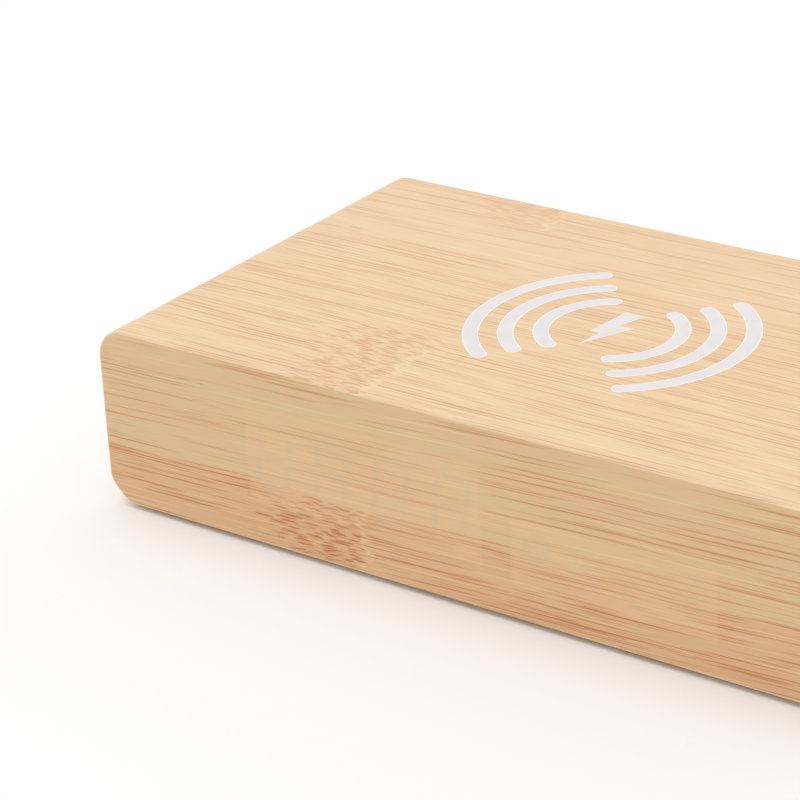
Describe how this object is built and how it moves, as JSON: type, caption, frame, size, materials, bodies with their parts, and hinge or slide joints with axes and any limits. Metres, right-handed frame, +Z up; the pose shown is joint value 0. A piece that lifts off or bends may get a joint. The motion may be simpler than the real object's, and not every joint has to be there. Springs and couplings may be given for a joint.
{
  "type": "wireless charging alarm clock",
  "caption": "Wood-effect block clock: hidden LED display behind the front foil, wireless phone charging on the top, and controls, USB socket and battery door at the back.",
  "frame": {"origin": "on the ground under the middle of the case, at the feet's undersides", "axes": "+X along the case (to the right seen from the display), -Y the display side, +Y the control side, +Z up"},
  "size_m": [0.165, 0.09, 0.036],
  "materials": {
    "wood_foil": "pale bamboo-effect foil, satin",
    "fibreboard": "raw medium-density fibreboard",
    "white_ink": "printed white ink",
    "black_plastic": "fine moulded grain",
    "rubber": "soft matt rubber",
    "display_resin": "cast black resin housing",
    "segment_resin": "milky diffusing resin",
    "circuit_board": "green solder mask",
    "charger_circuit_board": "blue solder mask",
    "chip_black": "moulded component body",
    "connector_white": "natural nylon",
    "steel": "nickel plated steel",
    "black_steel": "black oxide screws",
    "brass": "plated contact metal",
    "copper": "enamelled copper winding",
    "ferrite": "sintered ferrite",
    "tray_plastic": "white moulded tray",
    "capacitor_body": "tan ceramic",
    "ribbon_grey": "grey flat cable",
    "lead_red": "red insulated lead",
    "lead_black": "black insulated lead"
  },
  "bodies": {
    "case": {"wrap_foil": "wood_foil", "front_foil": "wood_foil", "back_foil": "wood_foil", "left_end_block": "fibreboard", "right_end_block": "fibreboard", "top_board": "fibreboard", "bottom_board": "fibreboard", "front_board": "fibreboard", "back_board": "fibreboard", "charging_mark": "white_ink", "control_panel": "black_plastic", "rubber_feet": "rubber", "panel_screws": "black_steel", "main_board": "circuit_board", "board_screws": "steel", "tact_switches": "chip_black", "usb_shell": "steel", "usb_tongue": "chip_black", "battery_holder": "chip_black", "coin_cell": "steel", "cell_contacts": "brass", "main_connectors": "connector_white", "main_chips": "chip_black", "buzzer": "chip_black", "temperature_sensor": "chip_black", "time_segments": "segment_resin", "info_segments": "segment_resin", "time_display": "display_resin", "info_display": "display_resin", "display_pins": "brass", "display_board": "circuit_board", "display_spacers": "tray_plastic", "display_screws": "steel", "display_connector": "connector_white", "charger_board": "charger_circuit_board", "charger_spacers": "tray_plastic", "charger_screws": "steel", "charger_connectors": "connector_white", "charger_chips": "chip_black", "charger_capacitors": "capacitor_body", "charger_inductor": "ferrite", "coil_tray": "tray_plastic", "tray_screws": "steel", "ferrite_plate": "ferrite", "charging_coil": "copper", "coil_leads": "copper", "power_lead_positive": "lead_red", "power_lead_negative": "lead_black", "display_ribbon": "ribbon_grey"},
    "set_key": {"set_button": "black_plastic", "set_plunger": "chip_black"},
    "up_key": {"up_button": "black_plastic", "up_plunger": "chip_black"},
    "down_key": {"down_button": "black_plastic", "down_plunger": "chip_black"},
    "battery_cover": {"battery_door": "black_plastic"}
  },
  "joints": [
    {"name": "set_press", "type": "slide", "parent": "case", "child": "set_key", "axis": [0, -1, 0], "range_m": [0, 0.0004], "stiffness_N_per_m": 400},
    {"name": "up_press", "type": "slide", "parent": "case", "child": "up_key", "axis": [0, -1, 0], "range_m": [0, 0.0004], "stiffness_N_per_m": 400},
    {"name": "down_press", "type": "slide", "parent": "case", "child": "down_key", "axis": [0, -1, 0], "range_m": [0, 0.0004], "stiffness_N_per_m": 400},
    {"name": "battery_door_hinge", "type": "hinge", "parent": "case", "child": "battery_cover", "pos_m": [0.026, 0.0434, 0.0088], "axis": [-1, 0, 0], "range_deg": [0, 90]}
  ]
}
